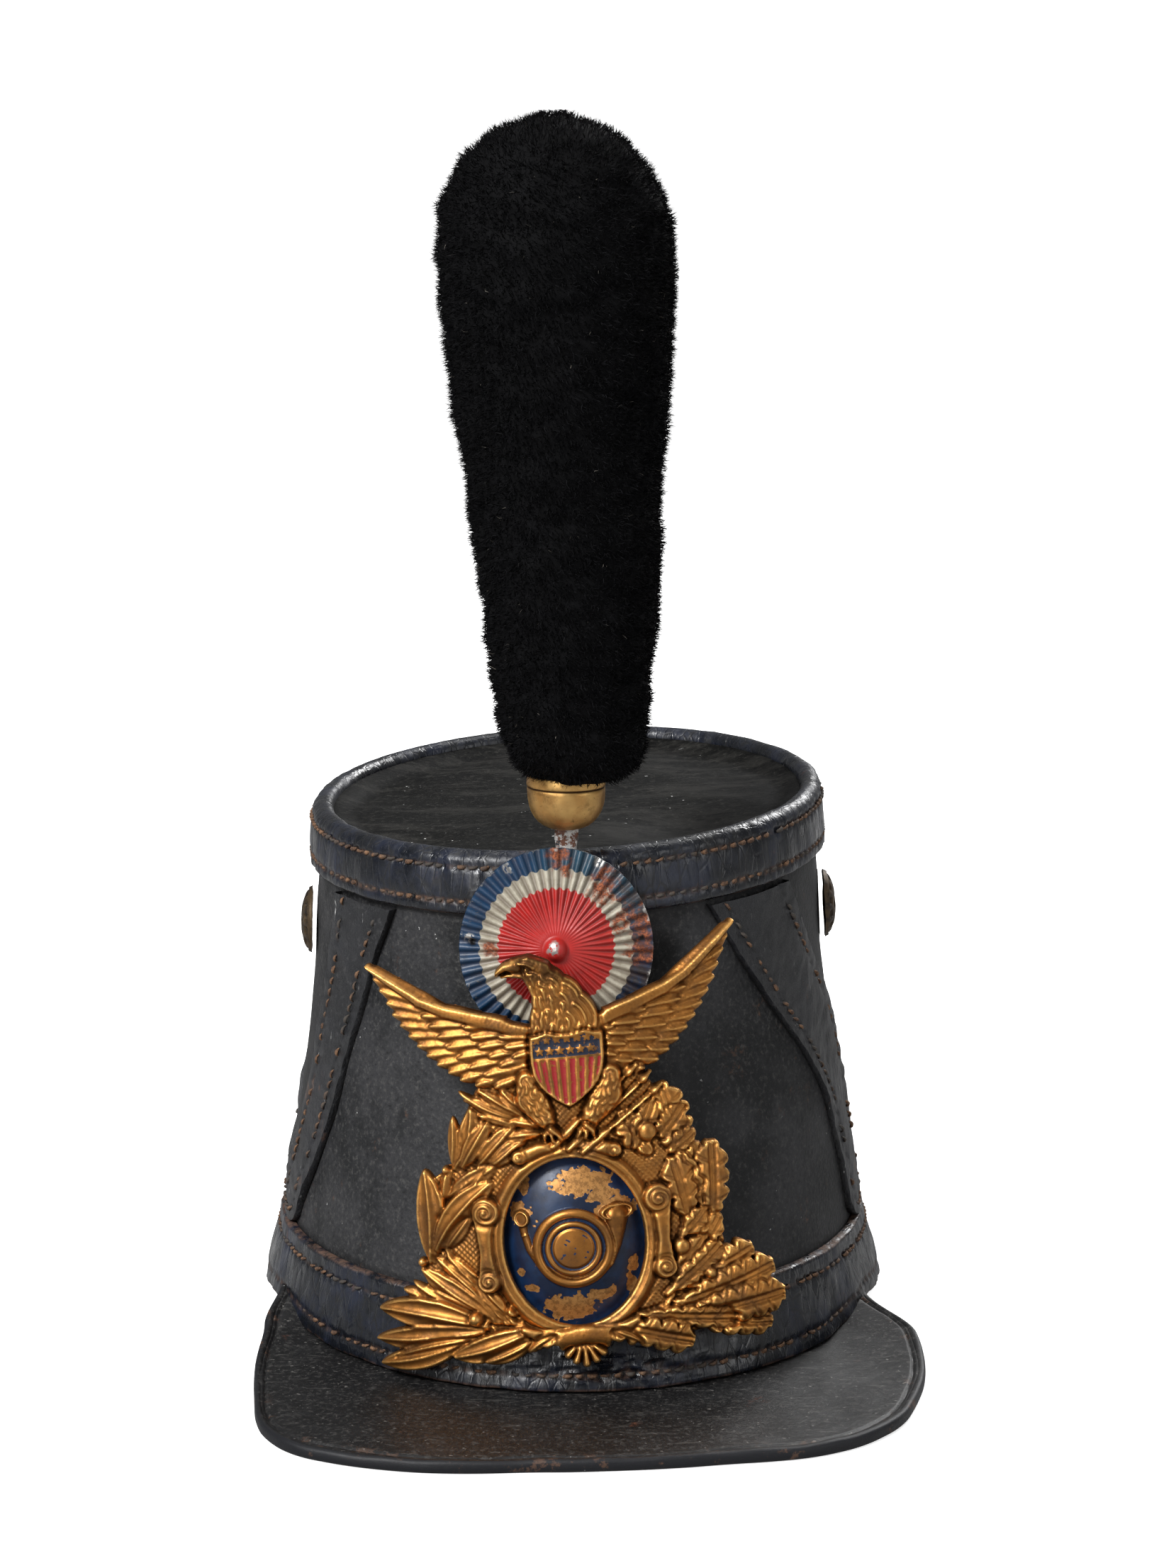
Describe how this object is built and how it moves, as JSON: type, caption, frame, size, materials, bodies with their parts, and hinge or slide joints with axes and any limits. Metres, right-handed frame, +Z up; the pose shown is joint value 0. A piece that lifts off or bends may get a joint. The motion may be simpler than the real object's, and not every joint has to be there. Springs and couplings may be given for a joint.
{
  "type": "leather shako with an eagle plate and a plume",
  "caption": "Black leather shako with a flat visor, a gilt eagle plate with a horn medallion, a pleated cockade and a tall black plume in a brass cup.",
  "frame": {"origin": "middle of the hat's box on the surface that it rests on", "axes": "+Z up through the crown, -Y to the front with the visor and the plate, +X to the viewer's right"},
  "size_m": [0.178, 0.2478, 0.3257],
  "materials": {
    "body_leather": "matte",
    "band_leather": "satin",
    "gilt_brass": "polished",
    "medallion_enamel": "satin",
    "cockade_paint": "satin",
    "old_tin": "satin",
    "plume_hair": "matte"
  },
  "bodies": {
    "root": {"shell": "body_leather", "crown_top": "body_leather", "top_band": "band_leather", "bottom_band": "band_leather", "chevron_left": "band_leather", "chevron_right": "band_leather", "visor": "band_leather", "visor_binding": "band_leather", "vent_left": "old_tin", "vent_right": "old_tin", "cockade": "cockade_paint", "plume_stem": "old_tin", "plume_cup": "gilt_brass", "plume": "plume_hair", "eagle_plate": "gilt_brass", "medallion": "medallion_enamel", "plate_post": "gilt_brass"}
  },
  "joints": []
}
